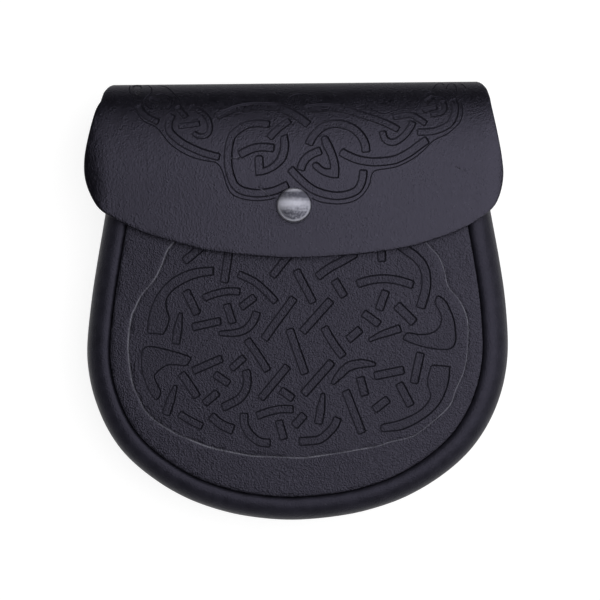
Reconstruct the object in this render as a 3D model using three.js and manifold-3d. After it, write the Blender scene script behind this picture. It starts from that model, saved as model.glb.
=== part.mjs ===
// Sporran pouch of black leather, closed, lying on its back.
// Millimetres. +Z points out of the front, +Y towards the fold at the top, +X to the right.
// The origin is on the surface that the pouch lies on, under the middle of its outline.

import * as THREE from 'three';
import { mergeVertices } from 'three/addons/utils/BufferGeometryUtils.js';
import Module from 'manifold-3d';

// Driving dimensions of the whole pouch
const pouchWidth = 185.4;
const pouchLength = 192.2;
const frontHeight = 34;
const frontCrown = 1.5;
const pieceGap = 0.3;

// Leather of the back panel, fold and flap
const flapThickness = 2.6;
const flapWidth = 182;
const flapLength = 77.3;
const flapShift = -1;
const flapRest = 1.2;
const flapSideDroop = 2.6;
const foldHeight = 20;
const foldReach = 45.5;
const backFoldReach = 19.5;
const foldWidth = 170;

// Front panel
const panelThickness = 3;
const panelTopDrop = 30;

// Gusset and its rolled rim
const gussetThickness = 1.8;
const gussetTopDrop = 23.5;
const rimWidth = 10.4;
const backRimWidth = 7.6;
const rimRecess = 0.6;
const rimClearance = 0.6;
const gussetLip = 8;

// Press stud
const capDiameter = 15.1;
const capHeight = 4.3;
const barrelDiameter = 8.4;
const studNippleDiameter = 4.4;
const studPostDiameter = 3.6;
const studDiscDiameter = 10;
const studDiscThickness = 0.7;
const snapFromFlapEnd = 22.7;
const snapHoleClearance = 0.3;

// Hanger loops on the back
const loopWidth = 18;
const loopThickness = 2.5;
const loopSpacing = 34;
const loopFromTop = 40.1;
const loopRise = 5.3;
const loopFlat = 13;
const loopSlope = 5;
const loopSeam = 7;

// Outline of the rim seen from the front. along is a share of half the pouch length from the middle,
// left and right are shares of half the pouch width.
const rimOutline = [
  { along: 0.38, left: 0.912, right: 0.927 },
  { along: 0.192, left: 0.947, right: 0.961 },
  { along: 0.005, left: 0.978, right: 0.988 },
  { along: -0.203, left: 1.0, right: 1.0 },
  { along: -0.349, left: 0.988, right: 0.985 },
  { along: -0.474, left: 0.953, right: 0.948 },
  { along: -0.588, left: 0.9, right: 0.891 },
  { along: -0.692, left: 0.824, right: 0.812 },
  { along: -0.786, left: 0.717, right: 0.704 },
  { along: -0.871, left: 0.584, right: 0.566 },
  { along: -0.932, left: 0.442, right: 0.419 },
  { along: -0.979, left: 0.261, right: 0.224 },
];
const rimTopTaper = 0.09;
const rimBottomShift = -0.029;

// Outline of the flap below its fold. down is a share of the flap length from the fold,
// left and right are shares of half the flap width.
const flapOutline = [
  { down: 0.16, left: 0.948, right: 0.952 },
  { down: 0.327, left: 0.984, right: 0.978 },
  { down: 0.445, left: 1.0, right: 0.994 },
  { down: 0.547, left: 0.996, right: 1.0 },
  { down: 0.643, left: 0.967, right: 0.985 },
  { down: 0.722, left: 0.921, right: 0.952 },
  { down: 0.785, left: 0.834, right: 0.888 },
  { down: 0.85, left: 0.72, right: 0.79 },
  { down: 0.91, left: 0.555, right: 0.645 },
  { down: 0.952, left: 0.42, right: 0.505 },
  { down: 0.985, left: 0.2, right: 0.27 },
];

// Edge of the sheet where it turns over the top. turn is a share of the half turn from back to front,
// half is a share of half the fold width.
const foldEdge = [
  { turn: 0, half: 0.84 },
  { turn: 0.25, half: 0.89 },
  { turn: 0.5, half: 0.94 },
  { turn: 0.57, half: 0.965 },
  { turn: 0.63, half: 0.987 },
  { turn: 0.69, half: 1.0 },
];

// Section of the rolled gusset. inward is a share of the rim width in from the outline,
// depth is a length below the rim's crest as a share of the rim width.
const rollSection = [
  { inward: 0.97, depth: 0.16 },
  { inward: 0.84, depth: 0.03 },
  { inward: 0.66, depth: 0.0 },
  { inward: 0.42, depth: 0.11 },
  { inward: 0.2, depth: 0.33 },
  { inward: 0.06, depth: 0.66 },
  { inward: 0.0, depth: 1.05 },
];
const gussetWaist = 1.6;

// Numbers of steps that round shapes are drawn in
const outlineSteps = 48;
const acrossShares = [0, 0.4, 0.7, 0.8, 0.86, 0.92, 0.96, 1];
const foldSteps = 8;
const panelSteps = 12;
const roundSteps = 24;

const halfWidth = pouchWidth / 2;
const halfLength = pouchLength / 2;
const flapTop = frontHeight + flapRest + flapThickness;
const foldStart = halfLength - foldReach;
const panelTop = halfLength - panelTopDrop;
const gussetTop = halfLength - gussetTopDrop;
const backBottom = -(halfLength - backRimWidth - rimClearance);
const loopMiddle = halfLength - loopFromTop;
const acrossHalf = halfWidth + rimWidth;
const backSlope = (loopRise + loopThickness) / (loopMiddle - backBottom);
const flapEnd = halfLength - flapLength;
const snapHeight = flapEnd + snapFromFlapEnd;

const leather = (color, roughness) => new THREE.MeshStandardMaterial({ color, roughness, metalness: 0 });
const flapLeather = leather(0x2b2a31, 0.5);
const panelLeather = leather(0x27262c, 0.55);
const gussetLeather = leather(0x222229, 0.45);
const loopLeather = leather(0x1f1e24, 0.6);
const pewter = new THREE.MeshStandardMaterial({ color: 0x77777f, roughness: 0.4, metalness: 1 });

// Outer face of the back panel: it leans from its lower edge up to the loops.
function backFace(y) {
  return (y - backBottom) * backSlope;
}

// Upper face of the flap along the middle, level and then falling in an elliptic fold.
function flapFace(y) {
  if (y <= foldStart) {
    return flapTop;
  }
  const share = Math.min(1, (y - foldStart) / foldReach);
  return foldHeight + (flapTop - foldHeight) * Math.sqrt(1 - share * share);
}

// How far the front falls away from its middle towards the sides and the lower edge.
function sideCrown(x) {
  return frontCrown * (x / halfWidth) ** 2;
}

function panelFace(x, y) {
  const lowerCrown = frontCrown * (Math.min(0, y) / halfLength) ** 2;
  return flapFace(y) - flapThickness - flapRest - sideCrown(x) - lowerCrown;
}

function flapDrop(x) {
  const start = halfWidth - rimWidth;
  const past = Math.max(0, Math.abs(x) - start) / rimWidth;
  return sideCrown(x) + flapSideDroop * past ** 2;
}

// A closed body between an outer and an inner grid of points of the same size.
function sheetBody(outer, inner) {
  const rows = outer.length;
  const columns = outer[0].length;
  const positions = [];
  for (const grid of [outer, inner]) {
    for (const row of grid) {
      for (const point of row) {
        positions.push(point.x, point.y, point.z);
      }
    }
  }
  const out = (i, j) => i * columns + j;
  const back = (i, j) => rows * columns + i * columns + j;
  const index = [];
  const quad = (a, b, c, d) => index.push(a, b, c, a, c, d);
  for (let i = 0; i < rows - 1; i += 1) {
    for (let j = 0; j < columns - 1; j += 1) {
      quad(out(i, j), out(i + 1, j), out(i + 1, j + 1), out(i, j + 1));
      quad(back(i, j), back(i, j + 1), back(i + 1, j + 1), back(i + 1, j));
    }
    quad(out(i, 0), back(i, 0), back(i + 1, 0), out(i + 1, 0));
    quad(out(i, columns - 1), out(i + 1, columns - 1), back(i + 1, columns - 1), back(i, columns - 1));
  }
  for (let j = 0; j < columns - 1; j += 1) {
    quad(out(0, j), out(0, j + 1), back(0, j + 1), back(0, j));
    quad(out(rows - 1, j), back(rows - 1, j), back(rows - 1, j + 1), out(rows - 1, j + 1));
  }
  if (signedVolume(positions, index) < 0) {
    index.reverse();
  }
  const geometry = new THREE.BufferGeometry();
  geometry.setAttribute('position', new THREE.Float32BufferAttribute(positions, 3));
  geometry.setIndex(index);
  return geometry;
}

function signedVolume(positions, index) {
  const corner = (k) => new THREE.Vector3().fromArray(positions, 3 * index[k]);
  let volume = 0;
  for (let k = 0; k < index.length; k += 3) {
    volume += corner(k).dot(corner(k + 1).cross(corner(k + 2)));
  }
  return volume;
}

// Points of a path moved by a distance to its left side, with the corners mitred.
function offsetPath(points, distance) {
  return points.map((point, k) => {
    const before = points[Math.max(0, k - 1)];
    const after = points[Math.min(points.length - 1, k + 1)];
    const first = point.clone().sub(before).normalize();
    const second = after.clone().sub(point).normalize();
    const along = first.clone().add(second).normalize();
    const normal = new THREE.Vector2(-along.y, along.x);
    const bend = Math.max(0.6, along.dot(k > 0 ? first : second));
    return point.clone().addScaledVector(normal, distance / bend);
  });
}

// Booleans on closed bodies
const wasm = await Module();
wasm.setup();

function toSolid(geometry) {
  const bare = geometry.clone();
  bare.deleteAttribute('normal');
  bare.deleteAttribute('uv');
  const merged = mergeVertices(bare, 1e-4);
  return new wasm.Manifold(new wasm.Mesh({
    numProp: 3,
    vertProperties: new Float32Array(merged.attributes.position.array),
    triVerts: new Uint32Array(merged.index.array),
  }));
}

function toGeometry(solid) {
  const mesh = solid.getMesh();
  const geometry = new THREE.BufferGeometry();
  geometry.setAttribute('position', new THREE.BufferAttribute(new Float32Array(mesh.vertProperties), 3));
  geometry.setIndex(new THREE.BufferAttribute(new Uint32Array(mesh.triVerts), 1));
  return geometry;
}

function prism(shape, low, high) {
  const geometry = new THREE.ExtrudeGeometry(shape, { depth: high - low, bevelEnabled: false, curveSegments: 16 });
  geometry.translate(0, 0, low);
  return toSolid(geometry);
}

function roundPin(diameter, x, y, low, high) {
  const geometry = new THREE.CylinderGeometry(diameter / 2, diameter / 2, high - low, roundSteps);
  geometry.rotateX(Math.PI / 2);
  geometry.translate(x, y, (low + high) / 2);
  return toSolid(geometry);
}

// The rim's outline as a curve from its upper left end round the bottom to its upper right end.
function rimCurve() {
  const topShare = gussetTop / halfLength;
  const first = rimOutline[0];
  const taper = rimTopTaper * (topShare - first.along) * 2;
  const rows = [{ along: topShare, left: first.left - taper, right: first.right - taper }, ...rimOutline];
  const left = rows.map((row) => new THREE.Vector2(-row.left * halfWidth, row.along * halfLength));
  const right = rows.map((row) => new THREE.Vector2(row.right * halfWidth, row.along * halfLength));
  const bottom = new THREE.Vector2(rimBottomShift * halfWidth, -halfLength);
  return new THREE.SplineCurve([...left, bottom, ...right.reverse()]);
}
const rimPoints = rimCurve().getSpacedPoints(outlineSteps);

// Places across the pouch from left to right, closer together near both edges.
function acrossPlaces(half) {
  const right = acrossShares.map((share) => share * half);
  return [...right.slice(1).reverse().map((x) => -x), ...right];
}

// Half the width of the sheet at a share of its turn over the top.
function foldHalf(turn) {
  const next = foldEdge.findIndex((row) => row.turn >= turn - 1e-9);
  if (next < 0) {
    return acrossHalf;
  }
  const high = foldEdge[next];
  const low = foldEdge[Math.max(0, next - 1)];
  const share = high === low ? 0 : (turn - low.turn) / (high.turn - low.turn);
  return THREE.MathUtils.lerp(low.half, high.half, share) * foldWidth / 2;
}

// Back panel, fold and flap: one sheet cut to the outline of the back and of the flap.
function backAndFlap() {
  const backStart = halfLength - backFoldReach;
  const backFold = backFace(backStart);
  const path = [new THREE.Vector2(-halfLength, backFace(-halfLength))];
  const halves = [acrossHalf];
  for (let k = 0; k <= foldSteps; k += 1) {
    const turn = k / foldSteps / 2;
    path.push(new THREE.Vector2(
      backStart + backFoldReach * Math.sin(turn * Math.PI),
      foldHeight - (foldHeight - backFold) * Math.cos(turn * Math.PI),
    ));
    halves.push(foldHalf(turn));
  }
  for (let k = 1; k <= foldSteps; k += 1) {
    const turn = (1 + k / foldSteps) / 2;
    path.push(new THREE.Vector2(
      foldStart + foldReach * Math.sin(turn * Math.PI),
      foldHeight - (flapTop - foldHeight) * Math.cos(turn * Math.PI),
    ));
    halves.push(foldHalf(turn));
  }
  path.push(new THREE.Vector2(flapEnd - rimWidth, flapTop));
  halves.push(acrossHalf);
  const innerPath = offsetPath(path, flapThickness);
  const crestRow = foldSteps + 1;
  const grid = (line) => line.map((point, row) => {
    const fade = row > crestRow ? Math.min(1, (halfLength - path[row].x) / foldReach) : 0;
    return acrossPlaces(halves[row]).map((x) => new THREE.Vector3(x, point.x, point.y - flapDrop(x) * fade));
  });
  const sheet = toSolid(sheetBody(grid(path), grid(innerPath)));

  const over = 2 * halfLength;
  const backTop = foldHalf(0);
  const backShape = new THREE.Shape(offsetPath(rimPoints, backRimWidth + rimClearance));
  backShape.lineTo(backTop, backStart);
  backShape.lineTo(acrossHalf, backStart);
  backShape.lineTo(acrossHalf, over);
  backShape.lineTo(-acrossHalf, over);
  backShape.lineTo(-acrossHalf, backStart);
  backShape.lineTo(-backTop, backStart);

  const flapHalf = flapWidth / 2;
  const cornerTurn = foldEdge[foldEdge.length - 1].turn;
  const cornerLine = foldStart + foldReach * Math.sin(cornerTurn * Math.PI);
  const side = (sign, column) => flapOutline.map((row) => new THREE.Vector2(
    flapShift + sign * row[column] * flapHalf,
    halfLength - row.down * flapLength,
  ));
  const flapShape = new THREE.Shape();
  flapShape.moveTo(-acrossHalf, over);
  flapShape.lineTo(-acrossHalf, cornerLine);
  flapShape.lineTo(-foldWidth / 2, cornerLine);
  flapShape.splineThru([
    ...side(-1, 'left'),
    new THREE.Vector2(flapShift, flapEnd),
    ...side(1, 'right').reverse(),
    new THREE.Vector2(foldWidth / 2, cornerLine),
  ]);
  flapShape.lineTo(acrossHalf, cornerLine);
  flapShape.lineTo(acrossHalf, over);

  const cutters = prism(backShape, -foldHeight, foldHeight).add(prism(flapShape, foldHeight, 2 * flapTop));
  const hole = roundPin(barrelDiameter + 2 * snapHoleClearance, flapShift, snapHeight, frontHeight, 2 * flapTop);
  return toGeometry(sheet.intersect(cutters).subtract(hole));
}

// Front panel: a slightly crowned sheet inside the rim, open at the mouth under the flap.
function frontPanel() {
  const grid = (depth) => Array.from({ length: panelSteps + 1 }, (unused, row) => {
    const y = THREE.MathUtils.lerp(-halfLength, panelTop, row / panelSteps);
    return acrossPlaces(halfWidth).map((x) => new THREE.Vector3(x, y, panelFace(x, y) - depth));
  });
  const sheet = toSolid(sheetBody(grid(0), grid(panelThickness)));
  const edge = offsetPath(rimPoints, rimWidth + rimClearance);
  const shape = new THREE.Shape(edge);
  const hole = roundPin(studPostDiameter + 2 * snapHoleClearance, flapShift, snapHeight, 0, flapTop);
  return toGeometry(sheet.intersect(prism(shape, 0, 2 * flapTop)).subtract(hole));
}

// Gusset: the rolled section carried round the outline, with a lip inside each panel.
function gusset() {
  const outer = [];
  const inner = [];
  const inwards = offsetPath(rimPoints, 1).map((point, k) => point.sub(rimPoints[k]).normalize());
  rimPoints.forEach((point, k) => {
    const edgeX = point.x + inwards[k].x * rimWidth;
    const edgeY = point.y + inwards[k].y * rimWidth;
    const face = panelFace(edgeX, edgeY);
    const crest = face - rimRecess;
    const lip = face - panelThickness - pieceGap;
    const backCrest = backFace(point.y + inwards[k].y * backRimWidth) + rimRecess;
    const middle = (crest + backCrest) / 2;
    const lipEnd = backRimWidth + gussetLip;
    const backLip = (inward) => backFace(point.y + inwards[k].y * inward) + flapThickness + pieceGap;
    const section = [
      new THREE.Vector2(rimWidth + gussetLip, lip),
      new THREE.Vector2(rimWidth + rimClearance, lip),
      ...rollSection.map((row) => new THREE.Vector2(row.inward * rimWidth, crest - row.depth * rimWidth)),
      new THREE.Vector2(gussetWaist / 2, middle + 2 * gussetWaist),
      new THREE.Vector2(gussetWaist, middle),
      new THREE.Vector2(gussetWaist / 2, middle - 2 * gussetWaist),
      ...rollSection.map((row) => new THREE.Vector2(row.inward * backRimWidth, backCrest + row.depth * backRimWidth))
        .reverse(),
      new THREE.Vector2(backRimWidth + rimClearance, backLip(backRimWidth + rimClearance)),
      new THREE.Vector2(lipEnd, backLip(lipEnd)),
    ];
    const place = (local) => new THREE.Vector3(
      point.x + inwards[k].x * local.x,
      point.y + inwards[k].y * local.x,
      local.y,
    );
    outer.push(section.map(place));
    inner.push(offsetPath(section, gussetThickness).map(place));
  });
  return sheetBody(outer, inner);
}

function lathe(profile) {
  const points = profile.map(([radius, height]) => new THREE.Vector2(radius, height));
  const geometry = new THREE.LatheGeometry(points, roundSteps);
  geometry.rotateX(Math.PI / 2);
  return toGeometry(toSolid(geometry));
}

// Cap of the press stud: a low dome with a rolled edge and a hollow barrel through the flap.
function snapCap() {
  const radius = capDiameter / 2;
  const edge = capHeight * 0.3;
  const barrel = barrelDiameter / 2;
  const socket = studNippleDiameter / 2 + snapHoleClearance;
  const profile = [[0, -pieceGap], [socket, -pieceGap], [socket, -flapThickness], [barrel, -flapThickness], [barrel, 0]];
  profile.push([radius * 0.93, 0], [radius, edge * 0.45]);
  for (let k = 0; k <= 6; k += 1) {
    const angle = (k / 6) * Math.PI / 2;
    profile.push([radius * 0.96 * Math.cos(angle), edge + (capHeight - edge) * Math.sin(angle)]);
  }
  return lathe(profile);
}

// Lower half of the press stud: a disc on each side of the panel and a nipple up into the cap.
function snapStud() {
  const post = studPostDiameter / 2;
  const disc = studDiscDiameter / 2;
  const under = -panelThickness - pieceGap;
  const nippleTop = flapRest + flapThickness - 3 * pieceGap;
  const discLow = pieceGap / 2;
  return lathe([
    [0, under - studDiscThickness],
    [disc, under - studDiscThickness],
    [disc, under],
    [post, under],
    [post, discLow],
    [disc, discLow],
    [disc, discLow + studDiscThickness],
    [studNippleDiameter / 2, discLow + studDiscThickness],
    [studNippleDiameter / 2, nippleTop],
    [0, nippleTop],
  ]);
}

// Hanger loop: a strip sewn down at both ends with a flat bow between for the strap.
function hangerLoop() {
  const reach = loopFlat / 2 + loopSlope + loopSeam;
  const seamDrop = pieceGap;
  const stations = [
    [-reach, seamDrop],
    [-reach + loopSeam, seamDrop],
    [-loopFlat / 2, loopRise],
    [loopFlat / 2, loopRise],
    [reach - loopSeam, seamDrop],
    [reach, seamDrop],
  ];
  const line = stations.map(([along, drop]) => {
    const y = loopMiddle + along;
    const flat = drop === loopRise;
    return new THREE.Vector2(y, flat ? loopThickness : backFace(y) - drop);
  });
  const lower = offsetPath(line, -loopThickness);
  lower[2].y = 0;
  lower[3].y = 0;
  const across = (points) => points.map((point) => [-1, 1].map((side) => (
    new THREE.Vector3(side * loopWidth / 2, point.x, point.y)
  )));
  return sheetBody(across(line), across(lower));
}

const sporran = new THREE.Group();

function addPiece(name, geometry, material, x = 0, y = 0, z = 0) {
  const piece = new THREE.Mesh(geometry, material);
  piece.name = name;
  piece.position.set(x, y, z);
  sporran.add(piece);
}

addPiece('back_and_flap', backAndFlap(), flapLeather);
addPiece('front_panel', frontPanel(), panelLeather);
addPiece('gusset', gusset(), gussetLeather);
addPiece('snap_cap', snapCap(), pewter, flapShift, snapHeight, flapTop + pieceGap / 2);
addPiece('snap_stud', snapStud(), pewter, flapShift, snapHeight, frontHeight);
addPiece('hanger_loop_left', hangerLoop(), loopLeather, -loopSpacing / 2);
addPiece('hanger_loop_right', hangerLoop(), loopLeather, loopSpacing / 2);

export default sporran;
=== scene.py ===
import bisect
import math
import random

import bmesh
import bpy
from mathutils import Matrix, Vector


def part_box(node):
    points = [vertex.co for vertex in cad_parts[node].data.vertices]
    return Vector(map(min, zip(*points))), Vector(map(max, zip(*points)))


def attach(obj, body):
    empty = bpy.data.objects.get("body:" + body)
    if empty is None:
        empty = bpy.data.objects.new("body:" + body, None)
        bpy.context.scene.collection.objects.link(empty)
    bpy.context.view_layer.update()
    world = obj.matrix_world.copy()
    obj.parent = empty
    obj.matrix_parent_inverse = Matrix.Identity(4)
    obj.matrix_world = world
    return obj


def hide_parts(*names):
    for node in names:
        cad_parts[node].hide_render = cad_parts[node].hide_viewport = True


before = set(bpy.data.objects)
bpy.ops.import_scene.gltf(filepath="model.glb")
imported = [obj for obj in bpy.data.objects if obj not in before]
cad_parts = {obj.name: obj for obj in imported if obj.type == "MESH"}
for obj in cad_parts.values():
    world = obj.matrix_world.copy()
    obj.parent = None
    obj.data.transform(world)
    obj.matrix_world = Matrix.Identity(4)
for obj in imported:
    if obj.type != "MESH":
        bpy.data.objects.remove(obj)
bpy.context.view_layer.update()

mm = 0.001

# -----------------------------------------------------------------------------
# Camera: straight above the pouch, which lies on its back, and turned by half a degree as the
# photograph is. Lengths are millimetres in the whole script and become metres in each mesh.
camera_place = Vector((1.2, 0.56, 940))
camera_turn = math.radians(0.54)
camera_lens = 125.2
sensor_width = 36
picture_width = 600

camera_data = bpy.data.cameras.new("camera")
camera_data.lens = camera_lens
camera_data.sensor_width = sensor_width
camera = bpy.data.objects.new("camera", camera_data)
camera.location = camera_place * mm
camera.rotation_euler = (0, 0, -camera_turn)
bpy.context.scene.collection.objects.link(camera)
bpy.context.scene.camera = camera
bpy.context.scene.view_settings.view_transform = "Standard"

# -----------------------------------------------------------------------------
# Studio: a pale floor and one broad soft lamp over the table, set to the upper right, in a dim
# room, so that the turn of the leather over the top and the left of the rim stay dark.
floor_size = 30000
backdrop_height = 1600
floor_grey = 0.3
floor_roughness = 0.9
floor_glow = 0.85
floor_segments = 96
lamp_size = 1900
lamp_place = Vector((540, 130, 1160))
lamp_power = 22
room_strength = 0.05
mirrored_floor = 0.5
horizon_blur = 0.1
white = (1, 1, 1, 1)

floor_mesh = bmesh.new()
bmesh.ops.create_circle(
    floor_mesh, cap_ends=True, segments=floor_segments, radius=floor_size / 2 * mm,
)
backdrop = bmesh.ops.extrude_edge_only(floor_mesh, edges=floor_mesh.edges[:])["geom"]
risen = [item for item in backdrop if isinstance(item, bmesh.types.BMVert)]
bmesh.ops.translate(floor_mesh, verts=risen, vec=(0, 0, backdrop_height * mm))
floor_data = bpy.data.meshes.new("floor")
floor_mesh.to_mesh(floor_data)
floor = bpy.data.objects.new("floor", floor_data)
bpy.context.scene.collection.objects.link(floor)
floor_paint = bpy.data.materials.new("floor_paint")
floor_paint.use_nodes = True
floor_shader = floor_paint.node_tree.nodes["Principled BSDF"]
floor_shader.inputs["Base Color"].default_value = (floor_grey, floor_grey, floor_grey, 1)
floor_shader.inputs["Roughness"].default_value = floor_roughness
floor_shader.inputs["Emission Color"].default_value = white
floor_shader.inputs["Emission Strength"].default_value = floor_glow
floor_data.materials.append(floor_paint)
# The photograph's hide mirrors little of the pale floor: the fold and the rims stay dark to their
# edges. So the mirror sees the dimmer lower half of the room in the floor's place.
floor.visible_glossy = False

lamp_data = bpy.data.lights.new("lamp", "AREA")
lamp_data.shape = "SQUARE"
lamp_data.size = lamp_size * mm
lamp_data.energy = lamp_power
lamp = bpy.data.objects.new("lamp", lamp_data)
lamp.location = lamp_place * mm
lamp.rotation_euler = (-lamp_place).to_track_quat("-Z", "Y").to_euler()
bpy.context.scene.collection.objects.link(lamp)

room = bpy.data.worlds.new("room")
room.use_nodes = True
room_nodes, room_links = room.node_tree.nodes, room.node_tree.links
room_way = room_nodes.new("ShaderNodeTexCoord")
room_split = room_nodes.new("ShaderNodeSeparateXYZ")
room_level = room_nodes.new("ShaderNodeMapRange")
for socket, value in enumerate((-horizon_blur, horizon_blur, mirrored_floor, room_strength), 1):
    room_level.inputs[socket].default_value = value
room_light = room_nodes["Background"]
room_light.inputs["Color"].default_value = white
room_links.new(room_way.outputs["Object"], room_split.inputs[0])
room_links.new(room_split.outputs["Z"], room_level.inputs[0])
room_links.new(room_level.outputs[0], room_light.inputs["Strength"])
bpy.context.scene.world = room

# -----------------------------------------------------------------------------
# Back panel, fold and flap: one piece of black hide 2.6 mm thick, cut flat, pressed with knotwork
# while damp, and folded over the top. Its raw edge is rounded and burnished.
rim_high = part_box("gusset")[1] / mm
sheet_low, sheet_high = (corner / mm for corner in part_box("back_and_flap"))
panel_low, panel_high = (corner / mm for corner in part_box("front_panel"))
half_width = rim_high.x
half_length = sheet_high.y
front_height = panel_high.z
flap_top = sheet_high.z
back_bottom = sheet_low.y
front_crown = 1.5
flap_thickness = 2.6
flap_width = 182
flap_length = 77.3
flap_shift = -1
flap_droop = 2.6
fold_height = 20
fold_reach = 45.5
back_fold_reach = 19.5
fold_width = 170
rim_width = 10.4
back_rim_width = 7.6
rim_gap = 0.6
back_slope = 7.8 / 143.9
fold_start = half_length - fold_reach
back_start = half_length - back_fold_reach
flap_end = half_length - flap_length
snap_from_edge = 22.7
snap_place = Vector((flap_shift, flap_end + snap_from_edge))
rim_steps = 180
flap_edge_steps = 150
mitre_limit = 0.55

# Rows of an outline: how far up or down, then how far out on the left and on the right.
rim_outline = [
    (0.7555, 0.8444, 0.8594), (0.38, 0.912, 0.927), (0.192, 0.947, 0.961), (0.005, 0.978, 0.988),
    (-0.203, 1.0, 1.0), (-0.349, 0.988, 0.985), (-0.474, 0.953, 0.948), (-0.588, 0.9, 0.891),
    (-0.692, 0.824, 0.812), (-0.786, 0.717, 0.704), (-0.871, 0.584, 0.566),
    (-0.932, 0.442, 0.419), (-0.979, 0.261, 0.224),
]
flap_outline = [
    (0.16, 0.948, 0.952), (0.327, 0.984, 0.978), (0.445, 1.0, 0.994), (0.547, 0.996, 1.0),
    (0.643, 0.967, 0.985), (0.722, 0.921, 0.952), (0.785, 0.834, 0.888), (0.85, 0.72, 0.79),
    (0.91, 0.555, 0.645), (0.952, 0.42, 0.505), (0.985, 0.2, 0.27),
]
fold_edge = [(0, 0.84), (0.25, 0.89), (0.5, 0.94), (0.57, 0.965), (0.63, 0.987), (0.69, 1.0)]


def spline(knots, steps=10):
    """Points of a smooth curve through the knots."""
    line = []
    for k in range(len(knots) - 1):
        start, end = knots[k], knots[k + 1]
        lead = (end - knots[max(0, k - 1)]) / 2
        trail = (knots[min(len(knots) - 1, k + 2)] - start) / 2
        for step in range(steps):
            t = step / steps
            cubic = (2 * start - 2 * end + lead + trail) * t**3
            square = (3 * end - 3 * start - 2 * lead - trail) * t**2
            line.append(cubic + square + lead * t + start)
    return line + [knots[-1]]


def evenly(line, count):
    """The same line in equal steps."""
    lengths = [0]
    for first, second in zip(line, line[1:]):
        lengths.append(lengths[-1] + (second - first).length)
    spaced = []
    for step in range(count + 1):
        wanted = lengths[-1] * step / count
        k = min(len(line) - 2, max(0, bisect.bisect_right(lengths, wanted) - 1))
        share = (wanted - lengths[k]) / max(1e-9, lengths[k + 1] - lengths[k])
        spaced.append(line[k].lerp(line[k + 1], share))
    return spaced


def normals(line, closed=False):
    """Mitred normals on the left side of a line."""
    sides = []
    for k, point in enumerate(line):
        before = line[k - 1] if closed or k else point
        after = line[(k + 1) % len(line)] if closed or k + 1 < len(line) else point
        first = (point - before).normalized() if before != point else (after - point).normalized()
        second = (after - point).normalized() if after != point else first
        along = (first + second).normalized()
        sides.append(Vector((-along.y, along.x)) / max(mitre_limit, along.dot(first)))
    return sides


def moved(line, distance, closed=False):
    return [point + side * distance for point, side in zip(line, normals(line, closed))]


def on_rim(along, share):
    return Vector((share * half_width, along * half_length))


rim_left = [on_rim(along, -left) for along, left, right in rim_outline]
rim_right = [on_rim(along, right) for along, left, right in rim_outline]
rim_foot = on_rim(-1, -0.029)
rim_line = evenly(spline(rim_left + [rim_foot] + rim_right[::-1]), rim_steps)


def back_face(y):
    return (y - back_bottom) * back_slope


def side_crown(x):
    return front_crown * (x / half_width) ** 2


def fold_point(turn):
    """Outer side of the fold: 0 where it leaves the back, 1 where it reaches the front."""
    angle = turn * math.pi
    if turn < 0.5:
        drop = (fold_height - back_face(back_start)) * math.cos(angle)
        return Vector((back_start + back_fold_reach * math.sin(angle), fold_height - drop))
    rise = (flap_top - fold_height) * math.cos(angle)
    return Vector((fold_start + fold_reach * math.sin(angle), fold_height - rise))


fold_steps = 120
overrun = 5
lead_in = 1
side_view = [Vector((y, back_face(y))) for y in (back_bottom - overrun, back_start - lead_in)]
side_view += [fold_point(step / fold_steps) for step in range(fold_steps + 1)]
side_view += [Vector((y, flap_top)) for y in (fold_start - lead_in, flap_end - overrun)]
side_normals = [-side.normalized() for side in normals(side_view)]
crest = 2 + fold_steps // 2
alongs = [0]
for first, second in zip(side_view, side_view[1:]):
    alongs.append(alongs[-1] + (second - first).length)
alongs = [along - alongs[crest] for along in alongs]


def unfolded(y, front):
    """Length from the crest of the fold to a place y on its front or its back."""
    sign = -1 if front else 1
    start, end = (crest, len(side_view) - 1) if front else (0, crest)
    reached = [sign * point.x for point in side_view[start:end + 1]]
    k = min(end, max(start + 1, bisect.bisect_left(reached, sign * y) + start))
    share = (y - side_view[k - 1].x) / (side_view[k].x - side_view[k - 1].x)
    return alongs[k - 1] + (alongs[k] - alongs[k - 1]) * share


def sheet_drop(x):
    """How far the flap lies lower at its sides than in its middle."""
    past = max(0, abs(x) - half_width + rim_width) / rim_width
    return side_crown(x) + flap_droop * past**2


def folded(place):
    """Place on the folded sheet of a point of the flat one."""
    x, along, height = place
    k = min(len(alongs) - 1, max(1, bisect.bisect_left(alongs, along)))
    share = (along - alongs[k - 1]) / (alongs[k] - alongs[k - 1])
    point = side_view[k - 1].lerp(side_view[k], share)
    normal = side_normals[k - 1].lerp(side_normals[k], min(1, max(0, share))).normalized()
    fade = min(1, (half_length - point.x) / fold_reach) if along > 0 else 0
    drop = sheet_drop(x) * fade
    return Vector((x, point.x + normal.x * height, point.y + normal.y * height - drop))


def chart(u, v, height):
    """Place in the pouch's frame of a point of the photograph, at a height over the table."""
    scale = (camera_place.z - height) * sensor_width / camera_lens / picture_width
    right, up = u - picture_width / 2, picture_width / 2 - v
    x = camera_place.x + (right * math.cos(camera_turn) + up * math.sin(camera_turn)) * scale
    y = camera_place.y + (up * math.cos(camera_turn) - right * math.sin(camera_turn)) * scale
    return Vector((x, y))


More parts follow.
